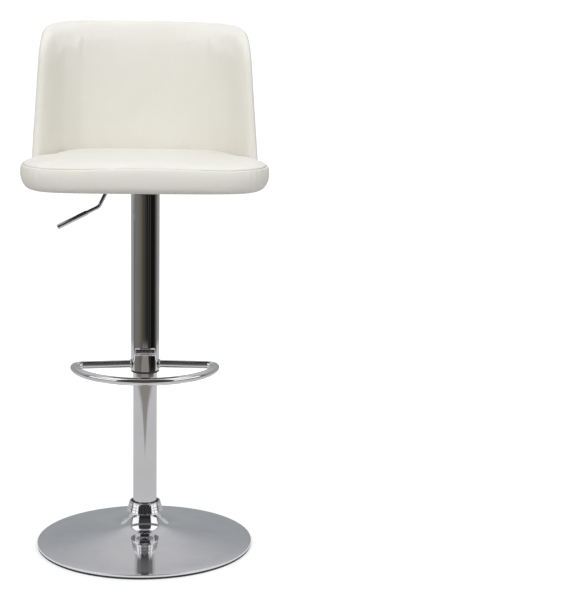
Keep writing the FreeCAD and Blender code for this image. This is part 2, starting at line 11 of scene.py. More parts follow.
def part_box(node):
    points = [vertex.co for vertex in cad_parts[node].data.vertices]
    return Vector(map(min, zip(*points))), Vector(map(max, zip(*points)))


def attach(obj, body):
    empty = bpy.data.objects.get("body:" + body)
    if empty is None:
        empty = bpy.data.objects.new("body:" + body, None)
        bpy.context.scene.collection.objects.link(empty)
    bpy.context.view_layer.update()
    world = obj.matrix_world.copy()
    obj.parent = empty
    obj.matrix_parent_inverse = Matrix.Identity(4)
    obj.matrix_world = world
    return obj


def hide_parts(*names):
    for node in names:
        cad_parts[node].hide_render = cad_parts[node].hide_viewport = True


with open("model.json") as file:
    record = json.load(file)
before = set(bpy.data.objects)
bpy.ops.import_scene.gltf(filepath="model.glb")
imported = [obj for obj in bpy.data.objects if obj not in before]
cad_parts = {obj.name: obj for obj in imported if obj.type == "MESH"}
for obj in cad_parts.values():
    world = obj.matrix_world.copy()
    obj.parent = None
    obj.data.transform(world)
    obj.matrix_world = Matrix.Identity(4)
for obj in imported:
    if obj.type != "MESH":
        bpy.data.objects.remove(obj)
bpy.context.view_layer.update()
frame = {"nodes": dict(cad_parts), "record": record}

scene = bpy.context.scene
nodes = frame["nodes"]

# ------------------------------------------------------------------ camera (first, so that everything can be judged against it)
F_PX, LONG_SIDE = 1600.0, 600.0
yaw, pitch, roll = math.radians(5.26), math.radians(10.53), math.radians(1.05)
fwd = Vector((math.sin(yaw) * math.cos(pitch), math.cos(yaw) * math.cos(pitch), -math.sin(pitch)))
right = Vector((math.cos(yaw), -math.sin(yaw), 0.0))
up = right.cross(fwd)
right2 = right * math.cos(roll) + up * math.sin(roll)
up2 = up * math.cos(roll) - right * math.sin(roll)
cam_data = bpy.data.cameras.new("camera")
cam_data.sensor_width = 36.0
cam_data.sensor_fit = "AUTO"
cam_data.lens = F_PX / LONG_SIDE * 36.0
cam_data.clip_start, cam_data.clip_end = 0.05, 200.0
cam_data.dof.use_dof = False
cam = bpy.data.objects.new("camera", cam_data)
m = Matrix.Identity(4)
for i, col in enumerate((right2, up2, -fwd)):
    for r in range(3):
        m[r][i] = col[r]
m.translation = Vector((0.0, -3.255, 1.1308))
cam.matrix_world = m
scene.collection.objects.link(cam)
scene.camera = cam

# ------------------------------------------------------------------ node helpers


class Mat:
    """A small helper for building node materials."""

    def __init__(self, name):
        self.mat = bpy.data.materials.new(name)
        self.mat.use_nodes = True
        self.nt = self.mat.node_tree
        self.nt.nodes.clear()
        self.out = self.nt.nodes.new("ShaderNodeOutputMaterial")
        self.bsdf = self.nt.nodes.new("ShaderNodeBsdfPrincipled")
        self.link(self.bsdf.outputs[0], self.out.inputs["Surface"])

    def link(self, a, b):
        self.nt.links.new(a, b)

    def node(self, kind, **props):
        n = self.nt.nodes.new(kind)
        for k, v in props.items():
            setattr(n, k, v)
        return n

    def coords(self):
        return self.node("ShaderNodeTexCoord").outputs["Object"]

    def mapping(self, vec, scale=(1, 1, 1), rot=(0, 0, 0), loc=(0, 0, 0)):
        n = self.node("ShaderNodeMapping")
        n.inputs["Scale"].default_value = scale
        n.inputs["Rotation"].default_value = rot
        n.inputs["Location"].default_value = loc
        self.link(vec, n.inputs["Vector"])
        return n.outputs[0]

    def noise(self, vec, scale, detail=4.0, rough=0.55, dist=0.0):
        n = self.node("ShaderNodeTexNoise")
        n.inputs["Scale"].default_value = scale
        n.inputs["Detail"].default_value = detail
        n.inputs["Roughness"].default_value = rough
        n.inputs["Distortion"].default_value = dist
        self.link(vec, n.inputs["Vector"])
        return n.outputs[0]

    def voronoi(self, vec, scale, feature="F1", rand=1.0, smooth=0.3):
        n = self.node("ShaderNodeTexVoronoi", feature=feature)
        n.inputs["Scale"].default_value = scale
        n.inputs["Randomness"].default_value = rand
        if feature == "SMOOTH_F1":
            n.inputs["Smoothness"].default_value = smooth
        self.link(vec, n.inputs["Vector"])
        return n.outputs["Distance"]

    def wave(self, vec, scale, direction="X", kind="BANDS", dist=0.0, detail=0.0):
        n = self.node("ShaderNodeTexWave", wave_type=kind)
        if kind == "BANDS":
            n.bands_direction = direction
        else:
            n.rings_direction = direction
        n.inputs["Scale"].default_value = scale
        n.inputs["Distortion"].default_value = dist
        n.inputs["Detail"].default_value = detail
        self.link(vec, n.inputs["Vector"])
        return n.outputs["Fac"]

    def math(self, op, a, b=None, c=None, clamp=False):
        n = self.node("ShaderNodeMath", operation=op, use_clamp=clamp)
        for i, v in enumerate((a, b, c)):
            if v is None:
                continue
            if isinstance(v, (int, float)):
                n.inputs[i].default_value = v
            else:
                self.link(v, n.inputs[i])
        return n.outputs[0]

    def remap(self, v, a, b, c, d):
        n = self.node("ShaderNodeMapRange")
        n.inputs["From Min"].default_value = a
        n.inputs["From Max"].default_value = b
        n.inputs["To Min"].default_value = c
        n.inputs["To Max"].default_value = d
        self.link(v, n.inputs["Value"])
        return n.outputs[0]

    def ramp(self, v, stops, mode="LINEAR"):
        n = self.node("ShaderNodeValToRGB")
        cr = n.color_ramp
        cr.interpolation = mode
        while len(cr.elements) > 1:
            cr.elements.remove(cr.elements[-1])
        cr.elements[0].position, cr.elements[0].color = stops[0][0], (*stops[0][1], 1)
        for p, c in stops[1:]:
            e = cr.elements.new(p)
            e.color = (*c, 1)
        self.link(v, n.inputs[0])
        return n.outputs[0]

    def mix(self, fac, a, b):
        n = self.node("ShaderNodeMix", data_type="RGBA")
        for name, v in (("Factor_Float", fac), ("A_Color", a), ("B_Color", b)):
            s = next(i for i in n.inputs if i.identifier == name)
            if isinstance(v, (int, float)):
                s.default_value = v
            elif isinstance(v, tuple):
                s.default_value = (*v, 1)
            else:
                self.link(v, s)
        return next(o for o in n.outputs if o.identifier == "Result_Color")

    def bump(self, height, strength, distance, normal=None):
        n = self.node("ShaderNodeBump")
        n.inputs["Strength"].default_value = strength
        n.inputs["Distance"].default_value = distance
        self.link(height, n.inputs["Height"])
        if normal is not None:
            self.link(normal, n.inputs["Normal"])
        return n.outputs[0]

    def set(self, **kw):
        for k, v in kw.items():
            s = self.bsdf.inputs[k.replace("_", " ")]
            if isinstance(v, (int, float)):
                s.default_value = v
            elif isinstance(v, tuple):
                s.default_value = (*v, 1) if len(v) == 3 else v
            else:
                self.link(v, s)
        return self


def chrome(name, tint=(0.80, 0.80, 0.81), rough=0.035, scratch="Z", wavy=0.0, dirt=0.5):
    """Polished chrome plate: faint handling marks in the gloss, hairline polishing scratches, a breath of haze."""
    k = Mat(name)
    v = k.coords()
    smudge = k.noise(v, 14.0, 5.0, 0.6, 0.4)
    smudge = k.remap(smudge, 0.42, 0.72, 0.0, 1.0)
    fine = k.noise(v, 220.0, 3.0, 0.6)
    stretch = {"Z": (900.0, 900.0, 6.0), "X": (8.0, 700.0, 700.0), "R": (260.0, 260.0, 260.0)}[scratch]
    hair = k.noise(k.mapping(v, stretch), 1.0, 2.0, 0.5)
    hair = k.remap(hair, 0.60, 0.72, 0.0, 1.0)
    r = k.math("MULTIPLY_ADD", smudge, 0.030 * dirt, rough)
    r = k.math("MULTIPLY_ADD", hair, 0.035 * dirt, r)
    r = k.math("MULTIPLY_ADD", fine, 0.012 * dirt, r)
    dark = tuple(c * 0.93 for c in tint)
    k.set(Base_Color=k.mix(smudge, tint, dark), Metallic=1.0, Roughness=r)
    h = k.bump(hair, 0.05, 0.00002)
    if wavy:
        h = k.bump(k.noise(v, 9.0, 1.0, 0.4), wavy, 0.0006, h)
    k.link(h, k.bsdf.inputs["Normal"])
    return k.mat


def leather(name, shade=1.0):
    """Soft ivory synthetic leather: pebbled grain in cells of about a millimetre with finer pores, slow tonal drift,
    and painted shade that darkens the grain's creases in the colour.
    """
    k = Mat(name)
    v = k.coords()
    warp = k.noise(v, 180.0, 2.0, 0.5)
    mixv = k.node("ShaderNodeVectorMath", operation="MULTIPLY_ADD")
    comb = k.node("ShaderNodeCombineXYZ")
    for i in range(3):
        k.link(warp, comb.inputs[i])
    k.link(comb.outputs[0], mixv.inputs[0])
    mixv.inputs[1].default_value = (0.0012, 0.0012, 0.0012)
    k.link(v, mixv.inputs[2])
    cells = k.voronoi(mixv.outputs[0], 820.0, "DISTANCE_TO_EDGE")
    cells2 = k.voronoi(mixv.outputs[0], 1650.0, "F1")
    crease_bump_and_painted_shade = k.remap(cells, 0.0, 0.16, 0.0, 1.0)
    pores = k.remap(k.noise(v, 2600.0, 2.0, 0.6), 0.35, 0.7, 0.0, 1.0)
    drift = k.noise(v, 5.5, 4.0, 0.6)
    soft = k.noise(v, 42.0, 3.0, 0.5)
    a = (0.735 * shade, 0.712 * shade, 0.640 * shade)
    b = (0.765 * shade, 0.745 * shade, 0.680 * shade)
    base = k.mix(k.remap(drift, 0.35, 0.65, 0.0, 1.0), a, b)
    # painted shade: the colour is darkened along the grain's creases, where shade would fall in them
    base = k.mix(k.math("MULTIPLY", k.math("SUBTRACT", 1.0, crease_bump_and_painted_shade), 0.16), base, (0.56 * shade, 0.53 * shade, 0.46 * shade))
    r = k.math("MULTIPLY_ADD", crease_bump_and_painted_shade, -0.07, 0.50)
    r = k.math("MULTIPLY_ADD", soft, 0.08, r)
    k.set(Base_Color=base, Roughness=r, Specular_IOR_Level=0.42, Sheen_Weight=0.08, Sheen_Roughness=0.5, Subsurface_Weight=0.0)
    n = k.bump(soft, 0.25, 0.0006)
    n = k.bump(crease_bump_and_painted_shade, 0.30, 0.00012, n)
    n = k.bump(cells2, 0.15, 0.00006, n)
    n = k.bump(pores, 0.10, 0.00004, n)
    k.link(n, k.bsdf.inputs["Normal"])
    return k.mat


def rubber(name, col=(0.018, 0.018, 0.019), rough=0.62):
    k = Mat(name)
    v = k.coords()
    n1 = k.noise(v, 60.0, 5.0, 0.6)
    n2 = k.noise(v, 1400.0, 3.0, 0.6)
    hi = tuple(min(1.0, c * 1.9 + 0.006) for c in col)
    k.set(Base_Color=k.mix(k.remap(n1, 0.4, 0.7, 0.0, 1.0), col, hi), Roughness=k.math("MULTIPLY_ADD", n1, 0.2, rough - 0.1), Specular_IOR_Level=0.4)
    k.link(k.bump(n2, 0.25, 0.0001), k.bsdf.inputs["Normal"])
    return k.mat


def steel(name, col=(0.45, 0.45, 0.46), rough=0.32, rings=False):
    """Turned or zinc-plated steel: machining lines and mottled plating."""
    k = Mat(name)
    v = k.coords()
    lines = k.noise(k.mapping(v, (40.0, 40.0, 3200.0)), 1.0, 2.0, 0.5)
    mott = k.noise(v, 120.0, 5.0, 0.65)
    lo = tuple(c * 0.78 for c in col)
    k.set(Base_Color=k.mix(k.remap(mott, 0.35, 0.65, 0.0, 1.0), col, lo), Metallic=1.0, Roughness=k.math("MULTIPLY_ADD", mott, 0.18, rough - 0.06))
    k.link(k.bump(lines, 0.25, 0.00005), k.bsdf.inputs["Normal"])
    return k.mat


def powder(name, col=(0.022, 0.022, 0.024), rough=0.48):
    """Black powder coat with a fine orange peel, rubbed lighter where it's handled."""
    k = Mat(name)
    v = k.coords()
    peel = k.noise(v, 900.0, 2.0, 0.5)
    wear = k.noise(v, 30.0, 6.0, 0.65)
    hi = tuple(c * 2.4 + 0.01 for c in col)
    k.set(Base_Color=k.mix(k.remap(wear, 0.52, 0.75, 0.0, 1.0), col, hi), Roughness=k.math("MULTIPLY_ADD", wear, 0.16, rough - 0.08), Specular_IOR_Level=0.5)
    k.link(k.bump(peel, 0.35, 0.0001), k.bsdf.inputs["Normal"])
    return k.mat


def cast_iron(name):
    k = Mat(name)
    v = k.coords()
    a = k.noise(v, 260.0, 6.0, 0.7)
    b = k.noise(v, 18.0, 4.0, 0.6)
    k.set(Base_Color=k.mix(k.remap(b, 0.35, 0.7, 0.0, 1.0), (0.055, 0.054, 0.053), (0.11, 0.10, 0.095)), Metallic=0.35, Roughness=k.math("MULTIPLY_ADD", a, 0.25, 0.55))
    k.link(k.bump(a, 0.6, 0.0005), k.bsdf.inputs["Normal"])
    return k.mat


def plywood(name):
    """Birch plywood: faces with long grain, edges with dark and light veneers."""
    k = Mat(name)
    v = k.coords()
    ply = k.wave(v, 420.0, "Z", dist=0.4, detail=1.0)
    grain = k.noise(k.mapping(v, (6.0, 90.0, 90.0)), 1.0, 6.0, 0.65, 0.6)
    pores = k.noise(k.mapping(v, (30.0, 900.0, 900.0)), 1.0, 3.0, 0.6)
    c = k.mix(k.remap(grain, 0.3, 0.7, 0.0, 1.0), (0.50, 0.34, 0.19), (0.68, 0.52, 0.33))
    c = k.mix(k.math("MULTIPLY", k.remap(ply, 0.5, 0.8, 0.0, 1.0), 0.35), c, (0.30, 0.18, 0.09))
    k.set(Base_Color=c, Roughness=k.math("MULTIPLY_ADD", pores, 0.2, 0.5), Specular_IOR_Level=0.35)
    k.link(k.bump(pores, 0.3, 0.0002), k.bsdf.inputs["Normal"])
    return k.mat


def cloth_black(name):
    """Thin black non-woven backing: tangled fibres pressed into a sheet with a faint dot emboss."""
    k = Mat(name)
    v = k.coords()
    f1 = k.noise(k.mapping(v, (900.0, 220.0, 900.0), (0, 0, 0.5)), 1.0, 4.0, 0.7, 1.2)
    f2 = k.noise(k.mapping(v, (220.0, 900.0, 900.0), (0, 0, -0.3)), 1.0, 4.0, 0.7, 1.2)
    dots = k.voronoi(v, 520.0, "F1", 0.0)
    f = k.math("MAXIMUM", f1, f2)
    k.set(Base_Color=k.mix(k.remap(f, 0.45, 0.75, 0.0, 1.0), (0.012, 0.012, 0.013), (0.045, 0.045, 0.047)), Roughness=0.9, Specular_IOR_Level=0.2, Sheen_Weight=0.15)
    n = k.bump(f, 0.5, 0.0002)
    n = k.bump(dots, 0.4, 0.00015, n)
    k.link(n, k.bsdf.inputs["Normal"])
    return k.mat


def plastic(name, col, rough=0.4):
    k = Mat(name)
    v = k.coords()
    a = k.noise(v, 700.0, 3.0, 0.6)
    b = k.noise(v, 25.0, 3.0, 0.5)
    hi = tuple(min(1.0, c * 1.35 + 0.004) for c in col)
    k.set(Base_Color=k.mix(k.remap(b, 0.4, 0.65, 0.0, 1.0), col, hi), Roughness=k.math("MULTIPLY_ADD", b, 0.15, rough - 0.05), Specular_IOR_Level=0.5)
    k.link(k.bump(a, 0.3, 0.00008), k.bsdf.inputs["Normal"])
    return k.mat


def foam(name):
    k = Mat(name)
    v = k.coords()
    c = k.voronoi(v, 700.0, "F1")
    k.set(Base_Color=k.mix(k.remap(c, 0.1, 0.6, 0.0, 1.0), (0.55, 0.48, 0.28), (0.80, 0.75, 0.55)), Roughness=0.9)
    k.link(k.bump(c, 0.6, 0.0006), k.bsdf.inputs["Normal"])
    return k.mat


M = {
    "base_chrome": chrome("base_chrome_finish", (0.78, 0.78, 0.80), 0.045, "R", dirt=0.7),
    "column_chrome": chrome("column_chrome_finish", (0.80, 0.80, 0.81), 0.030, "Z"),
    "footrest_chrome": chrome("footrest_chrome_finish", (0.80, 0.80, 0.81), 0.035, "X", dirt=1.1),
    "collar_chrome": chrome("collar_chrome_finish", (0.78, 0.78, 0.80), 0.06, "R"),
    "lever_chrome": chrome("lever_chrome_finish", (0.80, 0.80, 0.81), 0.045, "X"),
    "black_rubber": rubber("black_rubber_finish"),
    "cast_weight": cast_iron("cast_weight_finish"),
    "raw_steel": steel("raw_steel_finish", (0.45, 0.45, 0.46), 0.36),
    "bearing_steel": steel("bearing_steel_finish", (0.62, 0.62, 0.63), 0.18),
    "zinc_fasteners": steel("zinc_fasteners_finish", (0.60, 0.61, 0.62), 0.30),
    "black_nylon": plastic("black_nylon_finish", (0.018, 0.018, 0.019), 0.42),
    "black_cylinder": powder("black_cylinder_finish", (0.02, 0.02, 0.021), 0.30),
    "black_steel": powder("black_steel_finish"),
    "ivory_leather": leather("ivory_leather_finish"),
    "foam": foam("foam_finish"),
    "plywood": plywood("plywood_finish"),
    "black_cloth": cloth_black("black_cloth_finish"),
    "valve_red": plastic("valve_red_finish", (0.38, 0.03, 0.02), 0.35),
}
SLOT = {s["node"]: s["material_slot"] for s in frame["record"]["subparts"]}
SMOOTH_ANGLE = math.radians(32)
for name, o in nodes.items():
    o.data.materials.clear()
    o.data.materials.append(M[SLOT[name]])


# ------------------------------------------------------------------ mesh helpers


def new_mesh(name, verts, faces, mat, body, smooth=True):
    me = bpy.data.meshes.new(name)
    me.from_pydata([tuple(v) for v in verts], [], faces)
    me.update()
    if smooth:
        me.polygons.foreach_set("use_smooth", [True] * len(me.polygons))
    o = bpy.data.objects.new(name, me)
    scene.collection.objects.link(o)
    me.materials.append(mat)
    bm = bmesh.new()
    bm.from_mesh(me)
    bmesh.ops.recalc_face_normals(bm, faces=bm.faces)
    bm.to_mesh(me)
    bm.free()
    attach(o, body)
    return o


def catmull(points, n, closed=True):
    """n points evenly spaced along a smooth curve through points (numpy, any dimension)."""
    p = np.array(points, float)
    k = len(p)
    out = []
    segs = k if closed else k - 1
    for i in range(segs):
        if closed:
            a, b, c, d = p[(i - 1) % k], p[i], p[(i + 1) % k], p[(i + 2) % k]
        else:
            a, b, c, d = p[max(i - 1, 0)], p[i], p[i + 1], p[min(i + 2, k - 1)]
        for t in np.linspace(0, 1, 40, endpoint=False):
            out.append(0.5 * ((2 * b) + (-a + c) * t + (2 * a - 5 * b + 4 * c - d) * t * t + (-a + 3 * b - 3 * c + d) * t ** 3))
    if not closed:
        out.append(p[-1])
    return resample(np.array(out), n, closed)


def resample(p, n, closed=True):
    q = np.vstack([p, p[:1]]) if closed else p
    seg = np.linalg.norm(np.diff(q, axis=0), axis=1)
    s = np.concatenate([[0], np.cumsum(seg)])
    t = np.linspace(0, s[-1], n, endpoint=not closed)
    return np.stack([np.interp(t, s, q[:, i]) for i in range(p.shape[1])], 1)


def smooth_loop(p, sigma, closed=True):
    """Gaussian smoothing of evenly spaced points; sigma in samples."""
    r = int(3 * sigma) + 1
    w = np.exp(-0.5 * (np.arange(-r, r + 1) / sigma) ** 2)
    w /= w.sum()
    if closed:
        q = np.vstack([p[-r:], p, p[:r]])
    else:
        lo = 2 * p[0] - p[1:r + 1][::-1]
        hi = 2 * p[-1] - p[-r - 1:-1][::-1]
        q = np.vstack([lo, p, hi])
    return np.stack([np.convolve(q[:, i], w, "valid") for i in range(p.shape[1])], 1)


def outward(p):
    """Unit outward normals (2-D) of a closed loop that runs counter-clockwise."""
    t = np.roll(p, -1, 0) - np.roll(p, 1, 0)
    t /= np.linalg.norm(t, axis=1)[:, None]
    return np.stack([t[:, 1], -t[:, 0]], 1)


def swell(verts, faces, name, voxel=0.006, pressure=4.0, cap=0.006, frames=20, hold=None):
    """Runs Blender's cloth, blown up from inside, on a remeshed copy of a closed form, and returns how far each of verts moves with it."""
    me = bpy.data.meshes.new(name + "_sim")
    me.from_pydata([tuple(v) for v in verts], [], faces)
    o = bpy.data.objects.new(name + "_sim", me)
    scene.collection.objects.link(o)
    bm = bmesh.new()
    bm.from_mesh(me)
    bmesh.ops.recalc_face_normals(bm, faces=bm.faces)
    bm.to_mesh(me)
    bm.free()
    me.remesh_voxel_size = voxel
    bpy.context.view_layer.objects.active = o
    for other in bpy.context.selected_objects:
        other.select_set(False)
    o.select_set(True)
    bpy.ops.object.voxel_remesh()
    me = o.data
    before = np.zeros(len(me.vertices) * 3)
    me.vertices.foreach_get("co", before)
    before = before.reshape(-1, 3)
    group = None
    if hold is not None:
        w = hold(before)
        group = o.vertex_groups.new(name="hold")
        for i in np.nonzero(w > 0.01)[0]:
            group.add([int(i)], float(min(1.0, w[i])), "REPLACE")
    mod = o.modifiers.new("cloth", "CLOTH")
    st = mod.settings
    st.quality = 5
    st.mass = 0.35
    st.tension_stiffness = 18.0
    st.compression_stiffness = 14.0
    st.shear_stiffness = 8.0
    st.bending_stiffness = 0.6
    st.use_pressure = True
    st.uniform_pressure_force = pressure
    st.effector_weights.gravity = 0.0
    if group is not None:
        st.vertex_group_mass = group.name
    mod.collision_settings.use_collision = False
    mod.point_cache.frame_start, mod.point_cache.frame_end = 1, frames
    for f in range(1, frames + 1):
        scene.frame_set(f)
    dg = bpy.context.evaluated_depsgraph_get()
    ev = o.evaluated_get(dg)
    after = np.zeros(len(ev.data.vertices) * 3)
    ev.data.vertices.foreach_get("co", after)
    after = after.reshape(-1, 3)
    scene.frame_set(1)
    move = after - before
    d = np.linalg.norm(move, axis=1)
    limit = cap * np.tanh(d / cap) / np.maximum(d, 1e-9)
    move *= limit[:, None]
    move[~np.isfinite(move)] = 0
    tree = KDTree(len(before))
    for i, c in enumerate(before):
        tree.insert(c, i)
    tree.balance()
    out = np.zeros((len(verts), 3))
    for i, v in enumerate(verts):
        acc, tot = np.zeros(3), 0.0
        for _, j, dist in tree.find_n(v, 8):
            w = 1.0 / (dist + 0.0015) ** 2
            acc += move[j] * w
            tot += w
        out[i] = acc / tot
    bpy.data.objects.remove(o)
    print(name, "swelled, largest move", round(float(np.linalg.norm(out, axis=1).max()) * 1000, 2), "mm over", len(before), "points")
    return out


def grid_faces(rows, cols, closed_cols=True):
    f = []
    for r in range(rows - 1):
        for c in range(cols if closed_cols else cols - 1):
            c2 = (c + 1) % cols
            f.append((r * cols + c, r * cols + c2, (r + 1) * cols + c2, (r + 1) * cols + c))
    return f


# ------------------------------------------------------------------ seat cushion
lo_s, hi_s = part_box("seat_cover")
SEAT_Z0, SEAT_Z1 = lo_s.z, hi_s.z
HALF = [(0, -208), (70, -207.5), (130, -205), (178, -197), (213, -177), (235, -143), (244.5, -100), (246, -62),
        (242, -32), (235, -11), (227.5, 3), (220.5, 15), (215.5, 32), (211.5, 52), (207, 76), (198, 108), (177, 142),
        (139, 162), (70, 171), (0, 173)]
full = [(x / 1000, y / 1000) for x, y in HALF] + [(-x / 1000, y / 1000) for x, y in reversed(HALF[1:-1])]
NS = 760
loop = smooth_loop(catmull(full, NS), 2.0)
nrm = outward(loop)
if (loop * nrm).sum() < 0:
    nrm = -nrm
S = np.arange(NS) / NS
X, Y = loop[:, 0], loop[:, 1]
front = np.clip((-Y - 0.05) / 0.12, 0, 1)
# height of the seam: a little higher at the middle of the front
seam_z = 0.8115 + 0.0030 * np.exp(-(X / 0.085) ** 2) * front - 0.0012 * np.exp(-((np.abs(X) - 0.165) / 0.05) ** 2) * front
# band profile, (inset, height): underside, rounded lower edge, slightly bulged side, seam
BAND = [(31.0, 763.9), (26.0, 763.6), (21.0, 763.9), (16.4, 765.0), (12.4, 766.8), (9.1, 769.2), (6.4, 772.3), (4.2, 776.0), (2.4, 780.4),
        (1.1, 785.0), (0.35, 789.6), (0.0, 794.0), (0.0, 798.0), (0.25, 801.6), (0.7, 804.6), (1.3, 807.0), (1.9, 808.7), (2.3, 809.7), (2.7, 810.5), (3.2, 811.0)]
TOP = [(4.0, 811.6), (4.7, 812.5), (5.8, 813.6), (7.4, 814.7), (9.8, 815.7), (13.2, 816.6), (18.0, 817.4), (24.0, 818.1)]
rows = []
for off, z in BAND:
    k = (z - 763.4) / (811.3 - 763.4)
    zz = SEAT_Z0 + 0.0004 + k * (seam_z - SEAT_Z0 - 0.0004)
    rows.append(np.stack([X - nrm[:, 0] * off / 1000, Y - nrm[:, 1] * off / 1000, zz], 1))
for off, z in TOP:
    zz = seam_z + (z - 811.3) / 1000
    rows.append(np.stack([X - nrm[:, 0] * off / 1000, Y - nrm[:, 1] * off / 1000, zz], 1))
edge = rows[-1]
centre = np.array([0.0, -0.028])
NR = 26
for i in range(1, NR + 1):
    t = (i / (NR + 0.6)) ** 0.92
    xy = edge[:, :2] + (centre - edge[:, :2]) * t
    crown = 0.8232 - 0.0005
    z = edge[:, 2] + (crown - edge[:, 2]) * (1 - (1 - t) ** 2.4)
    rows.append(np.column_stack([xy, z]))
seat_v = np.vstack(rows)
seat_f = grid_faces(len(rows), NS)
top_c = len(seat_v)
seat_v = np.vstack([seat_v, [[centre[0], centre[1], 0.8228]]])
last = (len(rows) - 1) * NS
seat_f += [(last + i, last + (i + 1) % NS, top_c) for i in range(NS)]
bot_c = len(seat_v)
seat_v = np.vstack([seat_v, [[0.0, -0.028, 0.7685]]])
# underside closed behind the board: an inner ring turned up into the board's pocket, then a flat panel
inner = rows[0].copy()
inner[:, :2] -= nrm * 0.0015
inner[:, 2] = 0.7690
ri = len(seat_v)
seat_v = np.vstack([seat_v, inner])
seat_f += [(i, ri + i, ri + (i + 1) % NS, (i + 1) % NS) for i in range(NS)]
seat_f += [(ri + (i + 1) % NS, ri + i, bot_c) for i in range(NS)]


def seat_hold(p):
    """How firmly a point is held: the underside is stapled to the board, and the rear is nipped by the backrest."""
    under = np.clip((0.772 - p[:, 2]) / 0.006, 0, 1)
    rear = np.clip((p[:, 1] - 0.02) / 0.03, 0, 1) * np.clip((0.815 - p[:, 2]) / 0.01, 0, 1)
    return np.maximum(under, rear)


move = swell(seat_v, seat_f, "seat", voxel=0.006, pressure=3.0, cap=0.0040, hold=seat_hold)
# the side keeps its stated width; the crown takes the whole of the cloth's shape
keep = np.clip((seat_v[:, 2] - 0.8125) / 0.006, 0, 1)[:, None]
seat_v = seat_v + move * np.where(keep > 0, 0.25 + 0.75 * keep, 0.25)


def loop_wave(s, comps, seed):
    rng = np.random.RandomState(seed)
    out = np.zeros_like(s)
    for f, a in comps:
        out += a * np.sin(2 * math.pi * f * s + rng.rand() * 6.28)
    return out


nb = len(BAND)
# the seam: a pinched groove, each side rolling into it, with small puckers between the stitches
PERIM = np.linalg.norm(np.roll(loop, -1, 0) - loop, axis=1).sum()
stitches = int(PERIM / 0.0072)
pucker = 0.5 + 0.5 * np.cos(2 * math.pi * stitches * S + 0.8 * np.sin(2 * math.pi * 7 * S))
drift = loop_wave(S, [(9, 0.4), (17, 0.35), (31, 0.25)], 5)
for r, (dep, lift) in {nb - 4: (-0.25, 0.10), nb - 3: (-0.25, 0.25), nb - 2: (0.55, 0.2), nb - 1: (2.5, 0.0), nb: (2.4, 0.0), nb + 1: (0.45, 0.25), nb + 2: (-0.35, 0.2), nb + 3: (-0.3, 0.1)}.items():
    a = slice(r * NS, (r + 1) * NS)
    depth = dep * (0.92 + 0.16 * pucker) / 1000
    seat_v[a, 0] -= nrm[:, 0] * depth
    seat_v[a, 1] -= nrm[:, 1] * depth
    seat_v[a, 2] -= 0.35 * depth * (1 if r >= nb else -0.3)
    seat_v[a, 2] += lift * (1 - pucker) * 0.16 / 1000 + drift * 0.00018
# slow unevenness of a stuffed band and slight pull lines at the front corners
corner = np.exp(-((np.abs(X) - 0.218) / 0.03) ** 2) * np.exp(-((Y + 0.165) / 0.035) ** 2)
pull = np.sin(2 * math.pi * 95 * S + 1.1) * corner
for r in range(3, nb + 6):
    a = slice(r * NS, (r + 1) * NS)
    w = math.sin(math.pi * min(1.0, (r - 3) / (nb + 2)))
    g = (loop_wave(S, [(5, 0.35), (11, 0.22), (23, 0.12)], 11) + pull * 0.55 * w) * w / 1000
    seat_v[a, 0] += nrm[:, 0] * g
    seat_v[a, 1] += nrm[:, 1] * g
# gathers where the cover is turned under and stapled to the board
gather = np.sin(2 * math.pi * 150 * S + 2.5 * np.sin(2 * math.pi * 13 * S)) * (0.25 + 0.75 * np.clip(np.abs(np.gradient(np.unwrap(np.arctan2(nrm[:, 1], nrm[:, 0])))) * NS / 30, 0, 1))
for r, w in ((0, 0.5), (1, 0.7), (2, 0.6), (3, 0.4), (4, 0.2)):
    seat_v[r * NS:(r + 1) * NS, 2] += gather * w * 0.0006 + 0.0004 * w
seat = new_mesh("seat_cushion_upholstered", seat_v, seat_f, M["ivory_leather"], "seat")
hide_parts("seat_cover", "seat_foam")

# ------------------------------------------------------------------ backrest
lo_b, hi_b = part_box("back_rear_panel")
BZ0, BZ1 = lo_b.z, hi_b.z
W0, W1 = 233.0, 212.5
YR0, YR1 = 193.0, 224.0
YF0, YF1 = 4.0, 66.0
RC, SAG = 92.0, 10.0


def u_curve(k, n=400):
    """Right half of the outer face's plan at height share k, from the rear centre to the wing's front edge, in mm."""
    w, yr, yf = W0 + (W1 - W0) * k, YR0 + (YR1 - YR0) * k, YF0 + (YF1 - YF0) * k
    r = RC
    cx, cy = w - r, yr - SAG - r
    th = math.radians(82.0)
    p2 = np.array([cx + r * math.cos(th), cy + r * math.sin(th)])
    # shallow rear arc through (-p2), rear centre, p2
    h, c = yr - p2[1], p2[0]
    R = (c * c + h * h) / (2 * h)
    a2 = math.asin(c / R)
    rear = [(R * math.sin(a), yr - R + R * math.cos(a)) for a in np.linspace(0, a2, 60)]
    arc = [(cx + r * math.cos(a), cy + r * math.sin(a)) for a in np.linspace(th, 0, 60)][1:]
    arm = [(w, y) for y in np.linspace(cy, yf - 40.0, 40)][1:]
    half = np.array(rear + arc + arm)
    both = np.vstack([half[::-1] * [-1, 1], half[1:]])
    both = resample(both, 2 * n + 1, False)
    both = smooth_loop(both, 9.0, False)
    return both[n:], w, yr, yf


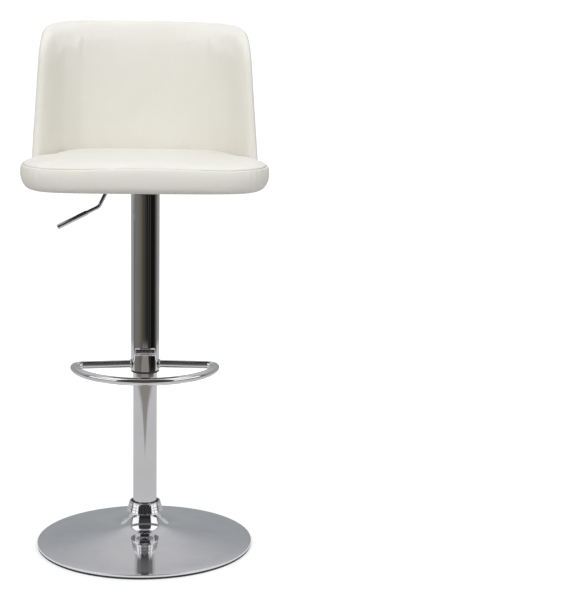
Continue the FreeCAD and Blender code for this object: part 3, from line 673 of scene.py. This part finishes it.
EDGE_T = 20.0    # thickness of the padding at the wings' front edges
NK = 24
tables = []
for i in range(NK + 1):
    k = i / NK
    c, w, yr, yf = u_curve(k)
    seg = np.concatenate([[0], np.cumsum(np.linalg.norm(np.diff(c, axis=0), axis=1))])
    t = np.gradient(c, axis=0)
    t /= np.linalg.norm(t, axis=1)[:, None]
    nn = np.stack([-t[:, 1], t[:, 0]], 1)   # towards the outside of the bend
    nn[0] = (0, 1)
    # the front face is one wide cove from wing to wing, so the padding is thickest in the corners
    wi, y_edge = w - EDGE_T, yf - 6.0
    depth = yr - 31.0 - y_edge

    def inside(px, py):
        u = np.clip(np.abs(px) / wi, 0, 1)
        return py - (y_edge + depth * np.maximum(0.0, 1 - u ** 2.45) ** 0.58) < 0

    lo_t, hi_t = np.full(len(c), 10.0), np.full(len(c), 90.0)
    for _ in range(30):
        mid = (lo_t + hi_t) / 2
        ins = inside(c[:, 0] - nn[:, 0] * mid, c[:, 1] - nn[:, 1] * mid)
        hi_t = np.where(ins, mid, hi_t)
        lo_t = np.where(ins, lo_t, mid)
    thick = np.clip((lo_t + hi_t) / 2, EDGE_T, 75.0)
    front_part = c[:, 1] < y_edge + 4.0
    thick[front_part] = EDGE_T
    mirrored = smooth_loop(np.concatenate([thick[:0:-1], thick])[:, None], 15.0, False)[:, 0]
    thick = mirrored[len(thick) - 1:]
    tables.append((seg, c, nn, thick, w, yf))


def back_point(a, z):
    """(point on the outer face, outward normal, padding thickness) for arc length a from the rear centre (signed) and height z, in mm."""
    k = np.clip((z - BZ0 * 1000) / ((BZ1 - BZ0) * 1000), 0, 1) * NK
    i = np.minimum(k.astype(int), NK - 1)
    f = k - i
    sgn = np.where(a < 0, -1.0, 1.0)
    aa = np.abs(a)
    out = np.zeros((5, len(a)))
    for j in range(NK + 1):
        seg, c, nn, th, _, _ = tables[j]
        for side, idx in ((0, i), (1, i + 1)):
            sel = idx == j
            if not sel.any():
                continue
            w = (1 - f[sel]) if side == 0 else f[sel]
            for q, arr in enumerate((c[:, 0], c[:, 1], nn[:, 0], nn[:, 1], th)):
                out[q][sel] += np.interp(aa[sel], seg, arr) * w
    p, q = out[0:2].T.copy(), out[2:4].T.copy()
    q /= np.linalg.norm(q, axis=1)[:, None]
    p[:, 0] *= sgn
    q[:, 0] *= sgn
    return p, q, out[4]


def arc_of(z, x=None, y=None):
    """Arc length at which the outer face reaches a given x (or y) at height z."""
    k = min(1.0, max(0.0, (z - zb) / (zt - zb))) * NK
    i = min(int(k), NK - 1)
    f = k - i
    seg = tables[i][0] * (1 - f) + tables[i + 1][0] * f
    c = tables[i][1] * (1 - f) + tables[i + 1][1] * f
    if x is not None:
        return float(np.interp(x, c[:, 0][c[:, 1] > 100.0], seg[c[:, 1] > 100.0]))
    sel = c[:, 0] > 120.0
    return float(np.interp(-y, -c[:, 1][sel], seg[sel]))


zb, zt = BZ0 * 1000, BZ1 * 1000


def yfz(z):
    return YF0 + (YF1 - YF0) * (z - zb) / (zt - zb)


# outline of the padded panel, unrolled: arc length against height, counter-clockwise seen from the front
pts_side = [(z, arc_of(z, y=yfz(z) + e)) for z, e in ((795.0, 1.0), (840.0, 0.5), (890.0, 0.5), (940.0, 0.5), (985.0, 0.5), (1012.0, 1.5), (1032.0, 7.0), (1048.0, 20.0), (1060.0, 42.0))]
pts_top = [(1068.5, arc_of(1068.0, y=118.0)), (1075.5, arc_of(1075.0, x=209.0)), (1080.5, arc_of(1080.0, x=196.0)), (1084.0, arc_of(1084.0, x=170.0)),
           (1085.6, arc_of(1085.0, x=128.0)), (1086.4, 75.0), (1086.8, 0.0)]
bottom = [(0.0, zb + 0.8), (120.0, zb + 0.8), (arc_of(770.0, y=60.0), zb + 0.8), (arc_of(770.0, y=24.0), zb + 2.5), (arc_of(778.0, y=10.0), zb + 11.0)]
half = bottom + [(a, z) for z, a in pts_side] + [(a, z) for z, a in pts_top]
outline = np.array(half + [(-a, z) for a, z in reversed(half[1:-1])])
NB = 1100
out_loop = smooth_loop(catmull(outline, NB), 5.0)
on = outward(out_loop)
if ((out_loop - out_loop.mean(0)) * on).sum() < 0:
    on = -on
# shrinking loops; the deeper the loop, the more gradually its direction turns, so that it doesn't fold at the corners
def turned(d):
    q = smooth_loop(on, 2.0 + 0.75 * d)
    return q / np.linalg.norm(q, axis=1)[:, None]


depths = [16.0 * (1 - math.cos(t)) for t in np.linspace(0, math.pi / 2, 10)] + [18.5, 22.0, 27.0, 33.0, 40.0, 48.0]
loops2d, dist = [], []
for d in depths:
    loops2d.append(out_loop - turned(d) * d)
    dist.append(d)
inner_loop = smooth_loop(loops2d[-1], 3.0)
loops2d[-1] = inner_loop
bc = np.array([0.0, (zb + zt) / 2 + 6.0])
NI = 30
for i in range(1, NI + 1):
    t = i / (NI + 0.5)
    target = np.stack([np.zeros(NB), np.full(NB, bc[1])], 1)
    loops2d.append(inner_loop + (target - inner_loop) * t)
    dist.append(48.0 + 110.0 * t)


def sheet_points(front):
    out = []
    for lp, d in zip(loops2d, dist):
        p, q, th = back_point(lp[:, 0], lp[:, 1])
        apex = np.clip(th * 0.34, 7.0, 13.0)      # how far the edge's ridge lies in from the outer face
        if front:
            r = np.clip(th * 0.95, 22.0, 34.0)
            s = np.sqrt(np.maximum(0.0, 1 - (1 - np.clip(d / r, 0, 1)) ** 2))
            off = apex + (th - apex) * s
        else:
            s = np.sqrt(np.maximum(0.0, 1 - (1 - np.clip(d / (apex * 1.15), 0, 1)) ** 2))
            off = apex * (1 - s) + 0.2
        out.append(np.column_stack([p[:, 0] - q[:, 0] * off, p[:, 1] - q[:, 1] * off, lp[:, 1]]) / 1000)
    return out


front_rows, rear_rows = sheet_points(True), sheet_points(False)
order = list(reversed(rear_rows[1:])) + front_rows
back_v = np.vstack(order)
back_f = grid_faces(len(order), NB)


def cap_point(front):
    p, q, th = back_point(np.array([0.0]), np.array([bc[1]]))
    off = th[0] if front else 0.2
    return np.array([[p[0, 0] - q[0, 0] * off, p[0, 1] - q[0, 1] * off, bc[1]]]) / 1000


cf = len(back_v)
back_v = np.vstack([back_v, cap_point(True), cap_point(False)])
last = (len(order) - 1) * NB
back_f += [(last + i, last + (i + 1) % NB, cf) for i in range(NB)]
back_f += [((i + 1) % NB, i, cf + 1) for i in range(NB)]
edge_share = np.concatenate([np.full(NB, d) for d in list(reversed(dist[1:])) + dist] + [[200.0, 200.0]])


def back_hold(p):
    """The lower part is held by the seat; the plywood behind the rear panel is allowed for later, where the move is
    applied.
    """
    low = np.clip((0.812 - p[:, 2]) / 0.01, 0, 1)
    return low


bmove = swell(back_v, back_f, "back", voxel=0.007, pressure=2.6, cap=0.0042, hold=back_hold)
# the seams and the board behind hold the edge and the rear panel; the front moves with the cloth
rear_share = np.concatenate([np.full((len(rear_rows) - 1) * NB, 0.35), np.ones(len(front_rows) * NB), [1.0, 0.35]])
back_v = back_v + bmove * (np.clip((edge_share - 6.0) / 26.0, 0, 1) * rear_share)[:, None]
# piping-free perimeter seam of the rear panel
SB = np.arange(NB) / NB
n_rear = len(rear_rows) - 1
bst = int(np.linalg.norm(np.roll(out_loop, -1, 0) - out_loop, axis=1).sum() / 7.4)
bp = 0.5 + 0.5 * np.cos(2 * math.pi * bst * SB)


def row_at(side, depth_index):
    return n_rear + depth_index if side > 0 else n_rear - depth_index


for side, idx, dep in ((-1, 9, 0.25), (-1, 10, 1.35), (-1, 11, 0.3)):
    r = row_at(side, idx)
    lp = loops2d[idx]
    _, q, _ = back_point(lp[:, 0], lp[:, 1])
    a = slice(r * NB, (r + 1) * NB)
    amount = dep * (0.9 + 0.2 * bp) / 1000
    back_v[a, 0] -= q[:, 0] * amount
    back_v[a, 1] -= q[:, 1] * amount
back = new_mesh("backrest_upholstered", back_v, back_f, M["ivory_leather"], "seat")
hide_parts("back_rear_panel", "back_foam", "back_front_cover", "back_shell")

# ------------------------------------------------------------------ cloth under the seat, and the staples that hold it
lo_d, hi_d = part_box("dust_cover")
BOARD = [(0, -186), (70, -185.5), (128, -183), (170, -176), (199, -160), (216, -132), (222, -98), (222, -62),
         (214, -34), (200, -14), (188, 2), (181, 24), (179, 45), (178, 70), (172, 98), (156, 118), (126, 130), (66, 136), (0, 138)]
bfull = [(x / 1000, y / 1000) for x, y in BOARD] + [(-x / 1000, y / 1000) for x, y in reversed(BOARD[1:-1])]
ND = 300
dl = catmull(bfull, ND)
dn = outward(dl)
if (dl * dn).sum() < 0:
    dn = -dn
dl = dl - dn * 0.0006
zc = lo_d.z + 0.0002
dv, df = [], []
ringsd = [0.0, 0.004, 0.009, 0.016, 0.028, 0.045]
srt = np.arange(ND) / ND
for d in ringsd:
    ruffle = 0.00035 * np.sin(2 * math.pi * 44 * srt) * math.exp(-d / 0.012)
    dv.append(np.column_stack([dl - dn * d, np.full(ND, zc) - np.abs(ruffle) * (1 if d > 0 else 0)]))
base_ring = dl - dn * ringsd[-1]
for i in range(1, 15):
    t = i / 15
    dv.append(np.column_stack([base_ring * (1 - t) + np.array([0.0, -0.025]) * t, np.full(ND, zc)]))
rows_d = len(dv)
dv = np.vstack(dv)
df = grid_faces(rows_d, ND)
dv = np.vstack([dv, [[0.0, -0.025, zc]]])
df += [((rows_d - 1) * ND + i, (rows_d - 1) * ND + (i + 1) % ND, len(dv) - 1) for i in range(ND)]
dust = new_mesh("under_seat_cloth", dv, df, M["black_cloth"], "seat")
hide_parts("dust_cover")

sv, sf = [], []
for i in range(0, ND, 7):
    c, t = dl[i] - dn[i] * 0.006, np.array([-dn[i][1], dn[i][0]])
    if abs(c[0]) < 0.02 and c[1] > 0.1:
        continue
    a = t * 0.0055
    tube_r = 0.00045
    pts = [np.array([c[0] - a[0], c[1] - a[1], zc + 0.0015]), np.array([c[0] - a[0] * 0.96, c[1] - a[1] * 0.96, zc - 0.0006]),
           np.array([c[0] + a[0] * 0.96, c[1] + a[1] * 0.96, zc - 0.0006]), np.array([c[0] + a[0], c[1] + a[1], zc + 0.0015])]
    base_i = len(sv)
    for j, p in enumerate(pts):
        dirv = (pts[min(j + 1, 3)] - pts[max(j - 1, 0)])
        dirv /= np.linalg.norm(dirv)
        s1 = np.cross(dirv, [0, 0, 1.0])
        if np.linalg.norm(s1) < 1e-3:
            s1 = np.array([dn[i][0], dn[i][1], 0.0])
        s1 /= np.linalg.norm(s1)
        s2 = np.cross(dirv, s1)
        for q in range(6):
            an = q * math.pi / 3
            sv.append(p + (s1 * math.cos(an) + s2 * math.sin(an)) * tube_r)
    for j in range(3):
        for q in range(6):
            sf.append((base_i + j * 6 + q, base_i + j * 6 + (q + 1) % 6, base_i + (j + 1) * 6 + (q + 1) % 6, base_i + (j + 1) * 6 + q))
    sf.append(tuple(base_i + q for q in range(6)))
    sf.append(tuple(base_i + 18 + q for q in reversed(range(6))))
staples = new_mesh("under_seat_staples", sv, sf, M["zinc_fasteners"], "seat")

# ------------------------------------------------------------------ stage: floor, light, surroundings


def emission_mat(name, build):
    mt = bpy.data.materials.new(name)
    mt.use_nodes = True
    nt = mt.node_tree
    nt.nodes.clear()
    out = nt.nodes.new("ShaderNodeOutputMaterial")
    em = nt.nodes.new("ShaderNodeEmission")
    nt.links.new(em.outputs[0], out.inputs[0])
    build(nt, em)
    return mt


def plane(name, corners, mat):
    me = bpy.data.meshes.new(name)
    me.from_pydata(corners, [], [tuple(range(len(corners)))])
    o = bpy.data.objects.new(name, me)
    me.materials.append(mat)
    scene.collection.objects.link(o)
    return o


fm = Mat("floor_finish")
fv = fm.coords()
fn = fm.noise(fv, 3.0, 4.0, 0.6)
fm.set(Base_Color=fm.mix(fm.remap(fn, 0.3, 0.7, 0.0, 1.0), (0.50, 0.50, 0.50), (0.52, 0.52, 0.52)), Roughness=0.85, Specular_IOR_Level=0.15)
fm.link(fm.bump(fm.noise(fv, 400.0, 3.0, 0.6), 0.1, 0.0002), fm.bsdf.inputs["Normal"])
# lit paper: it glows a little, more so away from the stool, as a lit studio sweep does
sepf = fm.node("ShaderNodeSeparateXYZ")
fm.link(fv, sepf.inputs[0])
rad = fm.math("SQRT", fm.math("ADD", fm.math("MULTIPLY", sepf.outputs[0], sepf.outputs[0]), fm.math("MULTIPLY", sepf.outputs[1], sepf.outputs[1])))
glow = fm.remap(rad, 0.22, 1.4, 0.50, 0.80)
lpf = fm.node("ShaderNodeLightPath")
fm.set(Emission_Color=(1.0, 1.0, 1.0), Emission_Strength=fm.math("MULTIPLY", glow, lpf.outputs["Is Camera Ray"]))
floor = plane("studio_floor", [(-30, -14, 0), (30, -14, 0), (30, 60, 0), (-30, 60, 0)], fm.mat)
floor.visible_glossy = False


def reflected_floor(nt, em):
    """What mirrors see of the floor: pale paper near the stool, a darker room beyond it."""
    tc = nt.nodes.new("ShaderNodeTexCoord")
    sep = nt.nodes.new("ShaderNodeSeparateXYZ")
    nt.links.new(tc.outputs["Object"], sep.inputs[0])

    def mt(op, a, b=None, clamp=False):
        n = nt.nodes.new("ShaderNodeMath")
        n.operation = op
        n.use_clamp = clamp
        for i, v in enumerate((a, b)):
            if v is None:
                continue
            if isinstance(v, (int, float)):
                n.inputs[i].default_value = v
            else:
                nt.links.new(v, n.inputs[i])
        return n.outputs[0]

    def rng(v, a, b, c, d):
        n = nt.nodes.new("ShaderNodeMapRange")
        n.interpolation_type = "SMOOTHSTEP"
        for i, x in zip(("From Min", "From Max", "To Min", "To Max"), (a, b, c, d)):
            n.inputs[i].default_value = x
        nt.links.new(v, n.inputs["Value"])
        return n.outputs[0]

    x, y = sep.outputs[0], sep.outputs[1]
    r = mt("SQRT", mt("ADD", mt("MULTIPLY", x, x), mt("MULTIPLY", y, y)))
    az = mt("ARCTAN2", x, mt("MULTIPLY", y, -1.0))      # 0 towards the camera side, + to the right
    ramp = nt.nodes.new("ShaderNodeValToRGB")
    cr = ramp.color_ramp
    stops = [(0.0, 0.42), (0.16, 0.38), (0.205, 0.30), (0.225, 0.075), (0.245, 0.19), (0.33, 0.18), (0.385, 0.145), (0.43, 0.10), (0.455, 0.055), (0.478, 0.075), (0.49, 0.035),
             (0.515, 0.045), (0.535, 0.012), (0.556, 0.008), (0.566, 0.085), (0.576, 0.008), (0.600, 0.008), (0.612, 0.075), (0.622, 0.010), (0.655, 0.007), (0.70, 0.008),
             (0.735, 0.02), (0.752, 0.12), (0.765, 0.05), (0.785, 0.17), (0.83, 0.30), (1.0, 0.42)]
    while len(cr.elements) > 1:
        cr.elements.remove(cr.elements[-1])
    cr.elements[0].position = 0.0
    cr.elements[0].color = (stops[0][1],) * 3 + (1,)
    for p, v in stops[1:]:
        e = cr.elements.new(p)
        warm = 1.0 if v > 0.15 or v < 0.05 else 1.12
        e.color = (v * warm, v, v * (2 - warm) * (0.9 if warm > 1 else 1), 1)
    nt.links.new(rng2 := mt("ADD", mt("DIVIDE", az, 2 * math.pi), 0.5), ramp.inputs[0])
    near = nt.nodes.new("ShaderNodeMix")
    near.data_type = "RGBA"
    absaz = mt("ABSOLUTE", az)
    turn = mt("DIVIDE", absaz, math.pi)

    def curve(stops):
        n = nt.nodes.new("ShaderNodeValToRGB")
        c_ = n.color_ramp
        while len(c_.elements) > 1:
            c_.elements.remove(c_.elements[-1])
        c_.elements[0].position = stops[0][0]
        c_.elements[0].color = (stops[0][1],) * 3 + (1,)
        for p_, v_ in stops[1:]:
            e_ = c_.elements.new(p_)
            e_.color = (v_, v_, v_, 1)
        nt.links.new(turn, n.inputs[0])
        return mt("MULTIPLY", n.outputs[0], 2.0)

    # how far the pale floor reaches in each direction, and where its dim middle begins
    edge_r = curve([(0.0, 0.96), (0.11, 0.96), (0.20, 0.73), (0.50, 0.74), (0.60, 0.98), (1.0, 1.0)])
    dim_r = curve([(0.0, 0.31), (0.067, 0.415), (0.144, 0.54), (0.278, 0.625), (0.51, 0.73), (0.60, 0.98), (1.0, 1.0)])
    fac = rng(mt("SUBTRACT", r, edge_r), 0.0, 0.22, 0.0, 1.0)
    nt.links.new(fac, near.inputs[0])
    a_in = next(i for i in near.inputs if i.identifier == "A_Color")
    b_in = next(i for i in near.inputs if i.identifier == "B_Color")
    # a dark wedge on the paper, pointing at the stool: it draws the thin dark streak down the lower tube
    wf = mt("MULTIPLY", rng(mt("SUBTRACT", r, dim_r), -0.02, 0.24, 0.0, 1.0), rng(r, 0.6, 1.4, 0.70, 1.0))
    paper = nt.nodes.new("ShaderNodeMix")
    paper.data_type = "RGBA"
    nt.links.new(wf, paper.inputs[0])
    next(i for i in paper.inputs if i.identifier == "A_Color").default_value = (0.60, 0.60, 0.605, 1)
    next(i for i in paper.inputs if i.identifier == "B_Color").default_value = (0.285, 0.270, 0.250, 1)
    # right by the base the paper is whitest
    close = nt.nodes.new("ShaderNodeMix")
    close.data_type = "RGBA"
    nt.links.new(rng(r, 0.29, 0.34, 1.0, 0.0), close.inputs[0])
    bright = nt.nodes.new("ShaderNodeValToRGB")
    bc_ = bright.color_ramp
    while len(bc_.elements) > 1:
        bc_.elements.remove(bc_.elements[-1])
    bc_.elements[0].position = 0.0
    bc_.elements[0].color = (0.85, 0.85, 0.85, 1)
    for p, v in ((0.5, 0.85), (0.8, 0.55), (1.0, 0.5)):
        e = bc_.elements.new(p)
        e.color = (v, v, v, 1)
    nt.links.new(mt("DIVIDE", absaz, math.pi), bright.inputs[0])
    nt.links.new(next(o for o in paper.outputs if o.identifier == "Result_Color"), next(i for i in close.inputs if i.identifier == "A_Color"))
    nt.links.new(bright.outputs[0], next(i for i in close.inputs if i.identifier == "B_Color"))
    nt.links.new(next(o for o in close.outputs if o.identifier == "Result_Color"), a_in)
    nt.links.new(ramp.outputs[0], b_in)
    nt.links.new(next(o for o in near.outputs if o.identifier == "Result_Color"), em.inputs[0])
    em.inputs[1].default_value = 1.0


mirror_floor = plane("reflected_floor", [(-20, -20, -0.001), (20, -20, -0.001), (20, 20, -0.001), (-20, 20, -0.001)], emission_mat("reflected_floor_finish", reflected_floor))
mirror_floor.visible_camera = False
mirror_floor.visible_diffuse = False
mirror_floor.visible_shadow = False
mirror_floor.visible_transmission = False

world = bpy.data.worlds.new("studio")
scene.world = world
world.use_nodes = True
wt = world.node_tree
wt.nodes.clear()
wo = wt.nodes.new("ShaderNodeOutputWorld")


def wmath(op, a, b=None, clamp=False):
    n = wt.nodes.new("ShaderNodeMath")
    n.operation = op
    n.use_clamp = clamp
    for i, v in enumerate((a, b)):
        if v is None:
            continue
        if isinstance(v, (int, float)):
            n.inputs[i].default_value = v
        else:
            wt.links.new(v, n.inputs[i])
    return n.outputs[0]


def wramp(v, stops):
    n = wt.nodes.new("ShaderNodeValToRGB")
    cr = n.color_ramp
    while len(cr.elements) > 1:
        cr.elements.remove(cr.elements[-1])
    cr.elements[0].position = stops[0][0]
    c = stops[0][1]
    cr.elements[0].color = (*(c if isinstance(c, tuple) else (c, c, c)), 1)
    for p, c in stops[1:]:
        e = cr.elements.new(p)
        e.color = (*(c if isinstance(c, tuple) else (c, c, c)), 1)
    wt.links.new(v, n.inputs[0])
    return n.outputs[0]


def wmix(fac, a, b, mode="MIX"):
    n = wt.nodes.new("ShaderNodeMix")
    n.data_type = "RGBA"
    n.blend_type = mode
    for name, v in (("Factor_Float", fac), ("A_Color", a), ("B_Color", b)):
        s = next(i for i in n.inputs if i.identifier == name)
        if isinstance(v, (int, float)):
            s.default_value = v
        elif isinstance(v, tuple):
            s.default_value = (*v, 1)
        else:
            wt.links.new(v, s)
    return next(o for o in n.outputs if o.identifier == "Result_Color")


tc = wt.nodes.new("ShaderNodeTexCoord")
sp = wt.nodes.new("ShaderNodeSeparateXYZ")
wt.links.new(tc.outputs["Generated"], sp.inputs[0])
dx, dy, dz = sp.outputs
elev = wmath("DIVIDE", wmath("ARCSINE", dz), math.pi / 2)             # -1 .. 1
az = wmath("ADD", wmath("DIVIDE", wmath("ARCTAN2", dx, wmath("MULTIPLY", dy, -1.0)), 2 * math.pi), 0.5)   # 0.5 looks to the camera's side
# mirrors: behind the stool a grey wall that lightens upwards; in front a dark gap between two bright panels
back_grad = wramp(elev, [(0.0, (0.33, 0.342, 0.358)), (0.06, (0.385, 0.397, 0.412)), (0.12, (0.375, 0.388, 0.402)), (0.18, (0.375, 0.388, 0.402)), (0.24, (0.42, 0.43, 0.45)), (0.30, (0.50, 0.503, 0.515)), (0.36, (0.575, 0.575, 0.585)), (0.5, 0.62), (1.0, 0.62)])
front_grad = wramp(elev, [(0.0, 0.012), (0.05, 0.02), (0.12, 0.045), (0.255, 0.05), (0.30, 0.18), (0.36, 0.16), (0.40, 0.04), (0.60, 0.04), (0.66, 0.06), (0.72, 0.34), (1.0, 0.62)])
panel_az = wramp(az, [(0.0, 0.0), (0.235, 0.0), (0.25, 1.0), (0.372, 1.0), (0.382, 0.0), (0.618, 0.0), (0.628, 1.0), (0.75, 1.0), (0.765, 0.0), (1.0, 0.0)])
panel_el = wramp(elev, [(0.0, 0.0), (0.008, 0.0), (0.02, 1.0), (0.255, 1.0), (0.275, 0.04), (0.375, 0.04), (0.395, 1.0), (0.88, 1.0), (0.93, 0.0), (1.0, 0.0)])
side = wramp(az, [(0.0, 0.0), (0.20, 0.0), (0.27, 1.0), (0.73, 1.0), (0.80, 0.0), (1.0, 0.0)])   # 1 on the camera's side
room = wmix(side, back_grad, front_grad)
panels = wmath("MULTIPLY", panel_az, panel_el)
glossy = wmix(panels, room, (1.25, 1.25, 1.23))
lp = wt.nodes.new("ShaderNodeLightPath")
dome = wramp(elev, [(0.0, (0.72, 0.72, 0.71)), (0.3, (0.82, 0.83, 0.83)), (1.0, (0.90, 0.95, 1.04))])
bg_gloss = wt.nodes.new("ShaderNodeBackground")
wt.links.new(glossy, bg_gloss.inputs[0])
bg_dome = wt.nodes.new("ShaderNodeBackground")
wt.links.new(dome, bg_dome.inputs[0])
bg_dome.inputs[1].default_value = 0.80
bg_cam = wt.nodes.new("ShaderNodeBackground")
bg_cam.inputs[0].default_value = (1.0, 1.0, 1.0, 1)
bg_cam.inputs[1].default_value = 1.02
mix1 = wt.nodes.new("ShaderNodeMixShader")
wt.links.new(lp.outputs["Is Glossy Ray"], mix1.inputs[0])
wt.links.new(bg_dome.outputs[0], mix1.inputs[1])
wt.links.new(bg_gloss.outputs[0], mix1.inputs[2])
mix2 = wt.nodes.new("ShaderNodeMixShader")
wt.links.new(lp.outputs["Is Camera Ray"], mix2.inputs[0])
wt.links.new(mix1.outputs[0], mix2.inputs[1])
wt.links.new(bg_cam.outputs[0], mix2.inputs[2])
wt.links.new(mix2.outputs[0], wo.inputs[0])


def area(name, loc, target, size, power, color=(1, 1, 1)):
    ld = bpy.data.lights.new(name, "AREA")
    ld.shape = "RECTANGLE"
    ld.size, ld.size_y = size
    ld.energy = power
    ld.color = color
    o = bpy.data.objects.new(name, ld)
    scene.collection.objects.link(o)
    o.location = loc
    o.rotation_euler = (Vector(target) - Vector(loc)).to_track_quat("-Z", "Y").to_euler()
    o.visible_glossy = False
    o.visible_camera = False
    return o


area("key_light", (-1.5, -2.4, 3.2), (0, 0, 0.75), (1.6, 1.6), 53.0)
area("fill_light", (2.1, -2.3, 2.4), (0, 0, 0.75), (1.8, 1.8), 24.0)
area("rear_light", (0.9, 2.9, 2.3), (0, 0, 0.8), (1.8, 1.8), 20.0)
area("top_light", (0.0, 0.4, 3.2), (0, 0, 0.6), (2.4, 2.0), 13.0, (0.90, 0.96, 1.10))

scene.view_settings.view_transform = "Standard"
scene.view_settings.look = "None"
scene.view_settings.exposure = 0.0
scene.view_settings.gamma = 1.0
